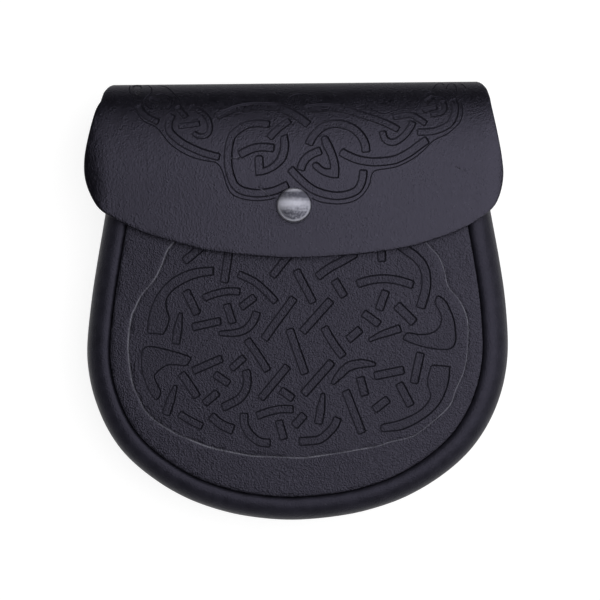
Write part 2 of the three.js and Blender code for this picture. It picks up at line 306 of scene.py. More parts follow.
def slab(outline, thickness, edge_round):
    """A flat closed plate with a rounded upper and lower edge."""
    plate = bmesh.new()
    top = plate.faces.new([plate.verts.new((x, y, 0)) for x, y in outline])
    top.normal_update()
    if top.normal.z < 0:
        top.normal_flip()
    made = bmesh.ops.extrude_face_region(plate, geom=[top])["geom"]
    lower = [item for item in made if isinstance(item, bmesh.types.BMVert)]
    bmesh.ops.translate(plate, verts=lower, vec=(0, 0, -thickness))
    bmesh.ops.recalc_face_normals(plate, faces=plate.faces)
    around = [edge for edge in plate.edges if abs(edge.verts[0].co.z - edge.verts[1].co.z) < 1e-6]
    bmesh.ops.bevel(
        plate, geom=around, offset=edge_round, segments=2, profile=0.5, affect="EDGES",
        material=-1,
    )
    return plate


def crossed(plate, places, axis):
    """Cuts the plate at each place along an axis, so that it can bend there."""
    direction = Vector((0, 0, 0))
    direction[axis] = 1
    for place in places:
        everything = plate.verts[:] + plate.edges[:] + plate.faces[:]
        bmesh.ops.bisect_plane(
            plate, geom=everything, dist=1e-4, plane_co=direction * place, plane_no=direction,
        )


def steps_between(low, high, step):
    count = math.ceil((high - low) / step)
    return [low + (high - low) * k / count for k in range(1, count)]


def shown(plate, name, finish, slot, *nodes, smooth=32):
    """Turns a bmesh in millimetres into a piece of the pouch."""
    bmesh.ops.scale(plate, vec=(mm, mm, mm), verts=plate.verts)
    data = bpy.data.meshes.new(name)
    plate.to_mesh(data)
    plate.free()
    data.polygons.foreach_set("use_smooth", [True] * len(data.polygons))
    data.set_sharp_from_angle(angle=math.radians(smooth))
    data.materials.append(finish)
    piece = bpy.data.objects.new(name, data)
    bpy.context.scene.collection.objects.link(piece)
    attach(piece, "root")
    if nodes:
        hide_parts(*nodes)
    return piece


bump_reach = 0.1
# Near-black colour for the sides of the grooves: burnished leather, and painted shade where the
# recess falls dark.
burnished_and_shaded_groove_colour = (0.0012, 0.0012, 0.002, 1)
flesh_dye = (0.02, 0.019, 0.02, 1)
cool_sheen = (0.77, 0.73, 1, 1)


class Reading:
    """A shader value that takes part in Python sums."""

    def __init__(self, finish, socket):
        self.finish, self.socket = finish, socket

    def maths(self, operation, first, second):
        return self.finish.node("ShaderNodeMath", {"operation": operation}, {0: first, 1: second})

    def __add__(self, other):
        return self.maths("ADD", self, other)

    def __radd__(self, other):
        return self.maths("ADD", other, self)

    def __sub__(self, other):
        return self.maths("SUBTRACT", self, other)

    def __rsub__(self, other):
        return self.maths("SUBTRACT", other, self)

    def __mul__(self, other):
        return self.maths("MULTIPLY", self, other)

    def __rmul__(self, other):
        return self.maths("MULTIPLY", other, self)


class Finish:
    """A material with its nodes, laid one call at a time."""

    def __init__(self, name):
        self.material = bpy.data.materials.new(name)
        self.material.use_nodes = True
        self.tree = self.material.node_tree
        self.shader = self.tree.nodes["Principled BSDF"]
        self.place = self.node("ShaderNodeTexCoord", {}, {}, "Object")

    def node(self, kind, settings, inputs, output=0):
        """A node with its settings and inputs, read at one of its outputs."""
        made = self.tree.nodes.new(kind)
        for name, value in settings.items():
            setattr(made, name, value)
        for name, value in inputs.items():
            self.put(made.inputs[name], value)
        return Reading(self, made.outputs[output])

    def put(self, socket, value):
        if isinstance(value, Reading):
            self.tree.links.new(value.socket, socket)
        else:
            socket.default_value = value

    def noise(self, size, detail):
        """Soft blotches, size millimetres across."""
        inputs = {"Vector": self.place, "Scale": 1 / (size * mm), "Detail": detail}
        return self.node("ShaderNodeTexNoise", {}, inputs, "Fac")

    def cells(self, size):
        """Distance from the middle of cells size millimetres across."""
        inputs = {"Vector": self.place, "Scale": 1 / (size * mm)}
        return self.node("ShaderNodeTexVoronoi", {}, inputs, "Distance")

    def mark(self, name):
        """A number that the mesh carries from point to point."""
        return self.node("ShaderNodeAttribute", {"attribute_name": name}, {}, "Fac")

    def between(self, value, low, high):
        """0 below low and 1 above high."""
        return self.node("ShaderNodeMapRange", {"clamp": True}, {0: value, 1: low, 2: high})

    def mix(self, factor, first, second):
        """One colour turning into another."""
        inputs = {0: factor, 6: first, 7: second}
        return self.node("ShaderNodeMix", {"data_type": "RGBA"}, inputs, 2)

    def wear(self, colour, roughness, height, strength, metallic=0.0, gloss=0.5, tint=white):
        """Hands the finish to the surface."""
        self.put(self.shader.inputs["Base Color"], colour)
        self.put(self.shader.inputs["Roughness"], roughness)
        self.shader.inputs["Metallic"].default_value = metallic
        self.shader.inputs["Specular IOR Level"].default_value = gloss
        self.shader.inputs["Specular Tint"].default_value = tint
        inputs = {"Height": height, "Distance": bump_reach * mm, "Strength": strength}
        self.put(self.shader.inputs["Normal"], self.node("ShaderNodeBump", {}, inputs, "Normal"))
        return self.material


def leather(name, dye, worn, shine, grain, gloss=0.5):
    """Dyed hide: mottled dye, pores, pale specks, grooves darkened at their sides as burnished
    leather and as painted shade, a pale worn crease and a rough grey flesh side. shine is its
    roughness and grain the height of its pores."""
    hide = Finish(name)
    clouds = hide.noise(26, 4)
    blotches = hide.noise(5, 4)
    pores = hide.cells(0.75)
    fibres = hide.noise(0.35, 3)
    grain_marks = hide.noise(1.3, 4)
    specks = hide.between(hide.noise(1.1, 3), 0.66, 0.74)
    rubbed = hide.between(hide.noise(9, 3), 0.35, 0.65)
    pressed = hide.mark("pressed")
    # Mask for the sides of the grooves, painted near black: partly burnished leather, partly
    # painted shade of the recess.
    groove_sides_burnish_and_shade = hide.between(pressed * (1 - pressed), 0.03, 0.17)
    crease = hide.mark("crease")
    flesh = hide.mark("flesh")
    dark = tuple(share * 0.55 for share in dye) + (1,)
    colour = hide.mix(hide.between(blotches, 0.25, 0.75), dark, tuple(dye) + (1,))
    colour = hide.mix(specks * 0.3, colour, tuple(worn) + (1,))
    colour = hide.mix(crease * (0.3 + 0.65 * rubbed), colour, tuple(worn) + (1,))
    colour = hide.mix(groove_sides_burnish_and_shade, colour, burnished_and_shaded_groove_colour)
    colour = hide.mix(flesh, colour, flesh_dye)
    roughness = shine + 0.14 * (clouds - 0.5) + 0.16 * (blotches - 0.5)
    roughness = roughness + 0.25 * (grain_marks - 0.5) + 0.07 * pressed + 0.5 * groove_sides_burnish_and_shade + 0.3 * flesh
    height = grain * (3 * pores + 3 * fibres + 2 * grain_marks) + 0.9 * blotches
    return hide.wear(colour, roughness, height, 0.9, gloss=gloss, tint=cool_sheen)


crest_margin = 0.02
pixel = 0.431
curve_steps = 8
stroke_step = 0.9
stroke_end = 0.45
end_narrowing = 0.72


def flap_height(x, y):
    """Height over the table of the flap's face."""
    share = min(0.999, max(0, (y - fold_start) / fold_reach))
    drop = sheet_drop(x) * min(1, (half_length - y) / fold_reach)
    return fold_height + (flap_top - fold_height) * math.sqrt(1 - share * share) - drop


def on_flap(u, v):
    """Place on the flat sheet of a point of the photograph's flap."""
    place = chart(u, v, flap_top)
    for repeat in range(4):
        place = chart(u, v, flap_height(place.x, min(place.y, half_length)))
    return Vector((place.x, unfolded(min(place.y, half_length - crest_margin), True)))


def on_panel(u, v):
    return chart(u, v, front_height)


def drawn(points, place):
    """A line of the photograph, smooth but for its corners, which are the points given twice."""
    runs = [[points[0]]]
    for point in points[1:]:
        if point == runs[-1][-1]:
            runs.append([point])
        else:
            runs[-1].append(point)
    line = []
    for run in runs:
        curve = spline([place(u, v) for u, v in run], curve_steps)
        length = sum((second - first).length for first, second in zip(curve, curve[1:]))
        line += evenly(curve, max(1, round(length / stroke_step)))[1 if line else 0:]
    return line


def closed_edge(points, place):
    return drawn(points + points[:1], place)[:-1]


def stroke(points, widths, place):
    """Outline of a groove that follows a line. widths are in pixels, evenly spread along it."""
    line = drawn(points, place)
    line.insert(1, line[0] + (line[1] - line[0]).normalized() * stroke_end)
    line.insert(-1, line[-1] + (line[-2] - line[-1]).normalized() * stroke_end)
    sides = normals(line)
    halves = []
    for k in range(len(line)):
        where = k / (len(line) - 1) * (len(widths) - 1)
        low = min(len(widths) - 1, int(where))
        high = min(len(widths) - 1, low + 1)
        halves.append((widths[low] + (widths[high] - widths[low]) * (where - low)) * pixel / 2)
    halves[0] *= end_narrowing
    halves[-1] *= end_narrowing
    left = [point + side * half for point, side, half in zip(line, sides, halves)]
    right = [point - side * half for point, side, half in zip(line, sides, halves)]
    return left + right[::-1]


pressed_kind, crease_kind = 1, 2
groove_depth = 0.5
crease_depth = 0.02


def groove(tool, outline, section, kind):
    """Adds the punch of one groove to the tool. section gives how far out of the outline and how
    high each of its rings is."""
    area = sum(first.cross(second) for first, second in zip(outline, outline[1:] + outline[:1]))
    if area < 0:
        outline = outline[::-1]
    rings = [moved(outline, -out, closed=True) for out, height in section]
    before = [(point.x, point.y, section[0][1]) for point in rings[0]]
    face = tool.faces.new([tool.verts.new(place) for place in before])
    for points, (out, height) in zip(rings[1:], section[1:]):
        after = [(point.x, point.y, height) for point in points]
        made = bmesh.ops.extrude_face_region(tool, geom=[face])["geom"]
        if points is not rings[1]:
            tool.faces.remove(face)
        face = next(item for item in made if isinstance(item, bmesh.types.BMFace))
        for vert in face.verts:
            gaps = [(vert.co - Vector(place)).length_squared for place in before]
            vert.co = after[gaps.index(min(gaps))]
        before = after
    for face in tool.faces:
        if face.material_index == 0:
            face.material_index = kind


def pressed_in(plate, tool):
    """Presses the tool into the flat plate and marks the grooves and creases point by point."""
    bmesh.ops.recalc_face_normals(tool, faces=tool.faces)
    objects = []
    for name, mesh in (("plate", plate), ("tool", tool)):
        data = bpy.data.meshes.new(name)
        mesh.to_mesh(data)
        mesh.free()
        for slot in range(crease_kind + 1):
            data.materials.append(None)
        objects.append(bpy.data.objects.new(name, data))
        bpy.context.scene.collection.objects.link(objects[-1])
    press = objects[0].modifiers.new("press", "BOOLEAN")
    press.operation, press.solver, press.use_self = "DIFFERENCE", "EXACT", True
    press.object = objects[1]
    bpy.context.view_layer.update()
    result = bmesh.new()
    result.from_object(objects[0], bpy.context.evaluated_depsgraph_get())
    for made in objects:
        bpy.data.objects.remove(made)
    pressed_layer = result.verts.layers.float.new("pressed")
    crease_layer = result.verts.layers.float.new("crease")
    for face in result.faces:
        for vert in face.verts:
            if face.material_index == pressed_kind:
                vert[pressed_layer] = min(1, max(0, -vert.co.z / groove_depth))
            if face.material_index == crease_kind:
                vert[crease_layer] = 1.0 if vert.co.z < -crease_depth else 0.0
        face.material_index = 0
    return result


# Rings of a punch, from over the hide to the floor of the groove: how far out, and how high.
deep_groove = [(0.54, 0.3), (0.34, 0), (0.18, -0.12), (-0.38, -0.55)]
fine_groove = [(0.24, 0.3), (0.09, 0), (-0.1, -0.22)]
worn_crease = [(0.2, 0.2), (0.1, 0), (-0.08, -0.09)]
fine_width = 0.85
scratch_widths = (0.3, 0.9, 0.4)
sheet_edge_round = 0.55
sheet_reach = 95
back_step = 6
fold_step = 1.3
flat_step = 2.6
flesh_margin = 0.3


def on_flap_edge(down, share):
    return Vector((flap_shift + share * flap_width / 2, half_length - down * flap_length))


back_line = moved(rim_line, back_rim_width + rim_gap)
sheet_outline = [Vector((point.x, unfolded(point.y, False))) for point in back_line]
fold_right = [Vector((half * fold_width / 2, 0)) for turn, half in fold_edge]
for point, (turn, half) in zip(fold_right, fold_edge):
    point.y = unfolded(fold_point(turn).x, turn > 0.5)
corner = fold_point(fold_edge[-1][0]).x
flap_left = [on_flap_edge(down, -left) for down, left, right in flap_outline]
flap_right = [on_flap_edge(down, right) for down, left, right in flap_outline]
flap_knots = [Vector((fold_width / 2, corner))] + flap_right + [Vector((flap_shift, flap_end))]
flap_knots += flap_left[::-1] + [Vector((-fold_width / 2, corner))]
flap_line = evenly(spline(flap_knots), flap_edge_steps)
sheet_outline += fold_right[:-1]
sheet_outline += [Vector((point.x, unfolded(point.y, True))) for point in flap_line]
sheet_outline += [Vector((-point.x, point.y)) for point in fold_right[:-1]][::-1]

# Each row is a groove: its widths along the way and its points, in pixels of the photograph.
flap_grooves = [
    ((7,), [
        (172.5, 114.5), (169.5, 120), (168.6, 126.5), (170.2, 132), (175.5, 137.5), (183.5, 143.5),
        (193, 148.3), (203, 152.5), (212, 155.2), (219.5, 157),
    ]),
    ((6,), [(138.5, 106), (142, 112), (149, 117.5), (158.5, 122)]),
    ((5.5,), [(177.5, 106.5), (181, 111.5), (186.5, 117.5)]),
    ((5.5,), [(178.5, 126), (189, 124.8), (199.5, 123.2)]),
    ((5,), [
        (190, 107), (196, 109), (203, 113), (207.5, 118), (209.7, 124), (209.8, 130),
        (206.8, 134.5), (202, 136.2), (197, 135.3), (193.3, 132.3),
    ]),
    ((4, 7, 8, 8, 8, 8), [
        (217, 117.5), (226, 113), (236, 109), (250, 106.5), (265, 106.3), (278, 107.5), (290, 112),
        (300, 118), (308.5, 124.5),
    ]),
    ((7.5,), [
        (269.5, 124), (258, 123.3), (248, 124.5), (240, 128.5), (233, 134.5), (229.5, 143.5),
        (228, 155), (228.5, 167), (231, 177), (235, 185.5), (242, 190.5), (252, 192.8), (262, 193),
        (275, 190.5), (288, 184.5),
    ]),
    ((7,), [(269, 138), (275, 131.5), (282, 125.3), (290, 120.3)]),
    ((8,), [(239.5, 155), (246, 151.3), (254, 148), (263, 147), (274, 148)]),
    ((7.5,), [
        (290, 168.5), (297, 176), (305.5, 184), (314, 190), (325, 194), (337, 195.8), (348, 194.3),
        (356.5, 190.5), (361, 184), (362.8, 177), (363.5, 170),
    ]),
    ((8,), [
        (308.5, 144.5), (312.5, 137), (318.5, 130), (326, 125.3), (336, 123.5), (345.5, 125),
        (354, 129), (361, 136), (365, 144), (366, 152),
    ]),
    ((8,), [(300.3, 170), (304, 161), (311, 154.5), (321, 150.3)]),
    ((8,), [
        (340.5, 151.5), (348, 155.5), (358, 159.5), (370, 161.6), (381, 161.6), (394, 159.8),
        (402, 156.5), (410, 152), (417.5, 146.5), (423.5, 142), (427.5, 139.5),
    ]),
    ((8, 7, 6.5), [
        (306, 109), (320, 107.5), (335, 107.8), (350, 110.8), (363, 115), (377, 119.5),
        (389, 124.5), (398.5, 129.5),
    ]),
    ((6.5,), [
        (382.3, 131), (384.5, 138), (388.5, 141.5), (394, 142), (400, 139), (406, 133.5),
        (410.5, 127), (413.3, 121.5),
    ]),
    ((6,), [(393.5, 117.3), (400, 115.8), (408, 114.7), (414, 115.8), (419, 119), (426, 123.6)]),
    ((6.8,), [
        (417.5, 132), (425, 131.8), (434, 131), (442.5, 128), (449, 124), (453.2, 118),
        (455, 111.5), (455, 104.5), (452.5, 100),
    ]),
    ((4.5,), [(423, 110.5), (430, 109), (437, 107)]),
    ((5,), [(443, 101), (444.5, 108), (441, 112.5), (431, 114.7)]),
    ((5,), [(426, 102), (433, 97)]),
    ((4.5,), [(150, 98.5), (160, 101.5)]),
]
# These turn back sharply or swell, so they are given by their own edge. It closes on its first
# point, and is sharp where a point is given twice.
flap_patches = [
    [
        (287, 134), (288.7, 144.3), (287, 155.8), (283, 162.7), (275, 169.5), (264.6, 174.1),
        (256, 175.3), (256, 175.3), (255.2, 167.2), (255.2, 158.1), (257.2, 155.8), (261.8, 155.8),
        (262.9, 158.1), (263.3, 167.8), (263.3, 167.8), (269.2, 165.5), (275, 160.4), (279, 153.5),
        (280.7, 145.4), (280.7, 137.4), (284.2, 135.1),
    ],
    [
        (321.2, 138.5), (323, 136), (327, 136.3), (329.3, 139.7), (333.3, 147.7), (336.7, 156.9),
        (338.8, 167.2), (338.5, 177.6), (338.5, 177.6), (332.1, 177.6), (323, 174.7),
        (316.1, 170.1), (312.3, 165.5), (314.4, 162.9), (317.8, 162.7), (321.2, 166.1),
        (325.8, 168.6), (330.4, 168.4), (330.4, 168.4), (330.1, 162.7), (327.6, 154.6),
        (323.5, 146.6),
    ],
    [
        (132.6, 86.3), (134.3, 90.9), (137.2, 94.3), (140, 91.5), (141.2, 86.3), (137, 84.8),
    ],
]
flap_lines = [
    [(130, 86), (129.4, 90), (131.5, 96), (133.5, 101)],
    [
        (143.5, 85.8), (147.5, 85.4), (151.4, 88), (151, 92.6), (146.4, 97.2), (143.5, 101.2),
        (146.4, 106.4), (153.3, 109.8), (159, 107.5),
    ],
    [(158, 85.4), (165.9, 86.9), (172.8, 92.6), (177, 97.5), (180.5, 102.5)],
    [(156, 95), (162, 94), (168, 96.5), (171, 101.5), (169.5, 106.5), (164.5, 108.5)],
    [(432.6, 89.8), (436, 84.8), (441.2, 83.2), (444, 85.2)],
    [(446, 89.2), (448.3, 84.4), (452.7, 83.6), (456, 86.9), (456, 91.6), (452.7, 94.4)],
    [(458.5, 83.6), (461.9, 84.2), (465.9, 88)],
    [(424, 96.2), (427, 93.2), (431.5, 91.8)],
    [
        (135.5, 105), (137, 112.5), (141, 118.7), (146.5, 122.8), (152.5, 125.2), (156.8, 128),
        (160.8, 132.3), (166, 139.3), (172, 145.4), (180, 151.2), (189, 155.9), (198, 159),
        (207.5, 161), (214, 162), (218.5, 164.5), (221.5, 169.5), (224, 176.5), (227, 186),
        (231, 193), (237, 197), (246.3, 199.6), (257.8, 200.7), (268, 199.7), (275.5, 197.8),
    ],
    [
        (311.8, 198.2), (320, 201.8), (331, 203.6), (341, 203.8), (351.8, 201.8), (360, 197.3),
        (366.4, 190), (370, 182.7), (371, 176.4), (373.6, 171.8), (377.3, 170), (394.3, 167.3),
        (403.6, 163.7), (410.7, 160), (417, 155.9), (422.9, 150.9), (427.9, 145.9), (432.9, 140.9),
        (440, 137.3), (447, 134), (453.6, 128.7), (459.3, 123), (462, 116), (462.5, 110),
        (461, 102.3),
    ],
    [
        (370, 109), (377.3, 111.8), (381, 113.5), (387, 113.2), (392.9, 111.2), (401.4, 108.7),
        (411.4, 108.4), (415.7, 107), (418.6, 103), (420, 100.5),
    ],
    [(432, 97.3), (437, 96.7), (442.9, 97.6), (448.6, 100), (455, 100.9)],
    [(288.5, 100), (290, 97), (295, 94.5), (300, 94), (306, 95.5), (312.8, 98)],
]
flap_scratches = [
    [(257.5, 187.5), (262, 189.5), (266, 192.5), (269.5, 196)],
    [(230, 158.3), (234.5, 158), (239.5, 156.8)],
    [(455, 166.5), (458, 168.8), (461.5, 170.5), (464, 170.2)],
    [(313, 128.5), (314.5, 129), (316, 128.8)],
]
flap_tool = bmesh.new()
for widths, points in flap_grooves:
    groove(flap_tool, stroke(points, widths, on_flap), deep_groove, pressed_kind)
for points in flap_lines:
    groove(flap_tool, stroke(points, (fine_width,), on_flap), fine_groove, pressed_kind)
for points in flap_patches:
    groove(flap_tool, closed_edge(points, on_flap), deep_groove, pressed_kind)
for points in flap_scratches:
    groove(flap_tool, stroke(points, scratch_widths, on_flap), worn_crease, crease_kind)

sheet = slab(sheet_outline, flap_thickness, sheet_edge_round)
for mesh in (sheet, flap_tool):
    crossed(mesh, steps_between(-sheet_reach, sheet_reach, flat_step), 0)
    crossed(mesh, steps_between(alongs[0], alongs[2], back_step), 1)
    crossed(mesh, steps_between(alongs[1], alongs[-2], fold_step), 1)
    crossed(mesh, steps_between(alongs[-2], alongs[-1], flat_step), 1)
sheet = pressed_in(sheet, flap_tool)
flesh_layer = sheet.verts.layers.float.new("flesh")
for vert in sheet.verts:
    vert[flesh_layer] = 1.0 if vert.co.z < -flap_thickness + flesh_margin else 0.0
    vert.co = folded(vert.co)
flap_hide = leather(
    "flap_hide", dye=(0.0055, 0.0052, 0.0077), worn=(0.07, 0.07, 0.085), shine=0.23, grain=0.38,
)
shown(sheet, "folded_hide", flap_hide, "flap_leather", "back_and_flap")

# -----------------------------------------------------------------------------
# Gusset: a strip of thin supple hide rolled over at both edges, so that it stands as a round
# welt about the front panel and about the back. It is turned in under both panels and sewn there.
gusset_thickness = 1.8
gusset_lip = 8
gusset_waist = 1.6
rim_recess = 0.6
rim_spread = 1.1
panel_gap = 0.3
panel_thickness = 3
roll_section = [
    (1.02, 0.12), (0.94, 0.03), (0.8, 0), (0.64, 0.01), (0.42, 0.11), (0.2, 0.33), (0.06, 0.66),
    (0, 1.05),
]
roll_steps = 6
gusset_around = 64


def panel_face(x, y):
    """Upper side of the front panel: crowned, and falling to the fold under the flap."""
    fall = 0
    if y > fold_start:
        share = min(1, (y - fold_start) / fold_reach)
        fall = (flap_top - fold_height) * (1 - math.sqrt(1 - share * share))
    return front_height - side_crown(x) - front_crown * (min(0, y) / half_length) ** 2 - fall


def front_rim(x):
    """Width of the roll beside the front panel: the panel sits a millimetre to the left."""
    return rim_width + rim_spread * max(0, x / half_width) ** 2


def gusset_section(point, inward):
    """Section of the gusset at a point of the rim, from the front lip round to the back lip."""
    width = front_rim(point.x)
    edge = point + inward * width
    face = panel_face(edge.x, edge.y)
    top = face - rim_recess
    bottom = back_face(point.y + inward.y * back_rim_width) + rim_recess
    lip = face - panel_thickness - panel_gap
    section = [Vector((width + rim_gap, lip))]
    section += [Vector((share * width, top - depth * width)) for share, depth in roll_section]
    back_roll = [
        Vector((share * back_rim_width, bottom + depth * back_rim_width))
        for share, depth in roll_section[::-1]
    ]
    middle = (section[-1].y + back_roll[0].y) / 2
    ease = (section[-1].y - back_roll[0].y) / 4
    section.append(Vector((gusset_waist / 2, middle + ease)))
    section.append(Vector((gusset_waist, middle)))
    section.append(Vector((gusset_waist / 2, middle - ease)))
    section += back_roll
    under = [
        Vector((reach, back_face(point.y + inward.y * reach) + flap_thickness + panel_gap))
        for reach in (back_rim_width + rim_gap, back_rim_width + gusset_lip)
    ]
    outer = [Vector((width + gusset_lip, lip))] + spline(section + under[:1], roll_steps)
    outer = evenly(outer + under[1:], gusset_around)
    return outer + moved(outer, gusset_thickness)[::-1]


inwards = [side.normalized() for side in normals(rim_line)]
sections = [gusset_section(point, inward) for point, inward in zip(rim_line, inwards)]
gusset = bmesh.new()
around_steps = 2 * gusset_around + 2
bmesh.ops.create_grid(gusset, x_segments=len(rim_line) - 1, y_segments=around_steps, size=0.5)
for vert in gusset.verts:
    station = round((vert.co.x + 0.5) * (len(rim_line) - 1))
    reach, height = sections[station][round((vert.co.y + 0.5) * around_steps) % around_steps]
    outward = rim_line[station] + inwards[station] * reach
    vert.co = (outward.x, outward.y, height)
bmesh.ops.remove_doubles(gusset, verts=gusset.verts, dist=1e-4)
bmesh.ops.holes_fill(gusset, edges=[edge for edge in gusset.edges if edge.is_boundary])
bmesh.ops.recalc_face_normals(gusset, faces=gusset.faces)
gusset_hide = leather(
    "gusset_hide", dye=(0.02, 0.0193, 0.028), worn=(0.06, 0.06, 0.07), shine=0.36, grain=0.35,
    gloss=0.24,
)
shown(gusset, "rolled_gusset", gusset_hide, "gusset_leather", "gusset")

# -----------------------------------------------------------------------------
# Front panel: hide 3 mm thick, cut to the inside of the rolled rim and pressed with a round of
# knotwork inside a worn plate line. Its mouth edge lies under the flap.
panel_edge_round = 0.7
panel_step = 3
plate_line_widths = (1.4, 1.5, 1.5, 1.4, 1, 0.8, 0.8)
panel_grooves = [
    ((8,), [(184, 261.5), (199, 249), (204, 244)]),
    ((8,), [(230, 243), (228.5, 250), (228, 257), (224, 282.5)]),
    ((7,), [(238.3, 274), (247.8, 278.3), (256.7, 283.3), (266, 291.7), (276, 302)]),
    ((8,), [(185.6, 290.6), (197.2, 314.4)]),
    ((7,), [(203.3, 298.3), (214.4, 294), (227.8, 291.3), (240, 291.7)]),
    ((7.5,), [(240.6, 307.6), (255, 296.7)]),
    ((7.5,), [(226.4, 304), (232.8, 323.3)]),
    ((7.5,), [(192.2, 327.2), (220.6, 321)]),
    ((3, 8, 8), [(180.6, 313), (178, 328), (175.6, 344)]),
    ((8, 8, 7, 4), [(256.7, 311.7), (253.3, 321), (245.6, 329.4), (234.4, 333), (219, 333.3)]),
    ((8,), [(294, 297.8), (284.4, 311), (273.3, 326), (264, 339.4)]),
    ((7.5,), [(246.7, 339.4), (257.8, 355), (267.8, 371)]),
    ((8,), [(181, 373.3), (189, 384.4), (197.2, 397.2)]),
    ((7.5,), [(192.8, 371), (206.7, 365), (222, 358.3)]),
    ((7,), [(231, 369), (244.4, 357.2)]),
    ((7.5,), [(214.4, 374), (229, 384)]),
    ((8,), [(246, 370), (247.2, 380), (245.6, 390), (239, 399), (230, 404), (222.2, 407.8)]),
    ((7.5,), [(287.8, 366), (260.6, 399)]),
    ((7.5,), [(280.6, 390), (293.3, 399)]),
    ((7.5,), [(204, 404), (217.8, 392.2)]),
    ((3, 8, 8), [(175.6, 385.6), (171.7, 396.7), (165.6, 415)]),
    ((7,), [(179, 414), (190, 420.6), (202.2, 426.7)]),
    ((8, 10), [(210.6, 415.6), (221, 424.4), (233.3, 430)]),
    ((8,), [(244, 413.3), (244.4, 424.4), (250, 434.4), (259, 441.7), (270.2, 443.3)]),
    ((7.5,), [(256.7, 416), (269, 411.7), (281, 409.2), (293.3, 409.4)]),
    ((7.5,), [(278.6, 420.6), (284, 439.4)]),
    ((8,), [(294, 426.5), (304.5, 414.5)]),
    ((7.5,), [(292, 252), (283, 262.5), (272, 276.5)]),
    ((7.5,), [(296, 270), (313.3, 302.8)]),
    ((8,), [(317.2, 277.2), (329, 268.3), (343.3, 260.6), (356, 253)]),
    ((8,), [(334.4, 280), (344.4, 296.7)]),
    ((8,), [(302.2, 332.2), (331, 300)]),
    ((8,), [(357.2, 284), (370, 280.2), (384.4, 278.7), (399, 280.6), (413.3, 285)]),
    ((8,), [(381, 245), (381.5, 254), (382, 261.5)]),
    ((9,), [
        (398, 243), (405, 249), (416, 257), (424, 267.5), (426.5, 281), (425, 293), (420.5, 308),
    ]),
    ((8,), [(386, 290.6), (379, 310)]),
    ((9,), [(396.7, 305), (414.4, 322.8)]),
    ((7.5,), [(363.3, 312.8), (379.4, 324.4)]),
    ((8,), [(347.8, 340), (360.6, 329)]),
    ((3, 7, 8), [(369, 340.6), (379, 335.6), (390, 331.7), (400.6, 328.3)]),
    ((8,), [(324, 327.2), (333.3, 343.3), (343.3, 356.7)]),
    ((8,), [(289.4, 329), (305, 374)]),
    ((8,), [(303.3, 394.4), (332.2, 361.7)]),
    ((3, 8, 9, 8, 3), [
        (332.2, 384), (339, 375.6), (347.8, 367.2), (356.7, 364.2), (365.6, 363.6), (375.6, 364.4),
    ]),
    ((8,), [(360, 377.2), (365, 395.6)]),
    ((8,), [(374.4, 376), (404, 370)]),
    ((8,), [(420.6, 352.8), (414, 383.3)]),
    ((8,), [(399, 383.3), (411, 406)]),
    ((8,), [(374, 410), (388.3, 399)]),
    ((8,), [(345.6, 390.6), (362.2, 433.3)]),
    ((3, 8, 8), [(323.3, 393.3), (321, 408), (318.3, 424)]),
    ((8,), [(299, 441.7), (310, 441), (320, 439.4), (329, 432.2), (334.4, 425.6), (337.8, 417.8)]),
]
# These grooves swell and turn back, so they too are given by their own edge.
panel_patches = [
    [
        (213.3, 267.2), (201, 267.8), (190, 270), (180, 274), (171, 279.4), (163.3, 286.7),
        (156.7, 295.6), (151.7, 306.7), (148.3, 319), (147.2, 331), (148.3, 333.3), (148.3, 333.3),
        (162.8, 334.4), (162.8, 334.4), (165.6, 330), (168.3, 323), (169, 317), (166.7, 310),
        (166, 302), (168.3, 295.6), (174.4, 289), (183.3, 283.3), (192, 279.4), (201, 276.7),
        (213.3, 275), (213.3, 275),
    ],
    [
        (143.3, 349), (141.7, 352), (141.4, 366.7), (143.3, 376.7), (146.7, 385.6), (151, 394.4),
        (155, 399.4), (156.7, 399.8), (159.4, 396.7), (160.6, 392.8), (160, 390), (156.7, 383.3),
        (154, 376.7), (156, 373.3), (160, 369.4), (167.8, 365), (176.7, 365), (186, 365.6),
        (189, 362.2), (190.6, 357.8), (183.3, 354.4), (174.4, 351.7), (161, 348.3), (150, 346.4),
        (145.6, 347.2),
    ],
    [
        (436.7, 297.2), (439, 296), (445.6, 301), (451, 311), (454.4, 321), (455.6, 331),
        (456, 340), (453.3, 346.7), (447.8, 349.4), (440, 349.4), (427.8, 347.8), (415.6, 344.4),
        (406.7, 341), (403.3, 339), (405.6, 334.4), (409, 332.8), (417.8, 334.4), (424.4, 334.4),
        (432.2, 332.8), (437.8, 329), (441, 323.3), (441.7, 317.8), (439.4, 311), (435.6, 304.4),
        (435.3, 301),
    ],
    [
        (431, 366.7), (433.3, 365.3), (449, 366.7), (449.8, 369), (449, 380), (445.6, 392.2),
        (440, 403.3), (432.2, 412.2), (423.3, 419), (412.2, 425.6), (401, 430), (390, 431.3),
        (383.3, 431.7), (381.3, 430.6), (381, 425.6), (384.4, 424), (395.6, 421.7), (406.7, 417.8),
        (417.8, 412.2), (425.6, 405.6), (430, 399), (430.6, 394.4), (429, 389), (427.6, 383.3),
        (428.3, 376.7), (430.6, 369),
    ],
]
plate_line = [
    (178, 236), (173, 243), (167.4, 250), (163.8, 259), (160.5, 267.5), (156, 276.5), (150, 285),
    (143.6, 292.2), (139, 299), (135, 308), (131.5, 316), (128.4, 336), (128.4, 357), (132, 383),
    (138, 397), (143, 408), (154, 420), (174, 433), (188, 439), (208, 447), (230, 452), (252, 456),
    (274, 457), (300, 458), (312, 457), (340, 453), (357, 450), (379, 446), (390, 442), (408, 438),
    (420, 432), (448, 408), (456, 390), (465, 368), (468, 342), (467.5, 320), (460, 301),
    (448, 286), (445, 272), (439, 257), (431, 248), (424, 240),
]
panel_tool = bmesh.new()
for widths, points in panel_grooves:
    groove(panel_tool, stroke(points, widths, on_panel), deep_groove, pressed_kind)
for points in panel_patches:
    groove(panel_tool, closed_edge(points, on_panel), deep_groove, pressed_kind)
plate_stroke = stroke(plate_line, plate_line_widths, on_panel)
groove(panel_tool, plate_stroke, worn_crease, crease_kind)

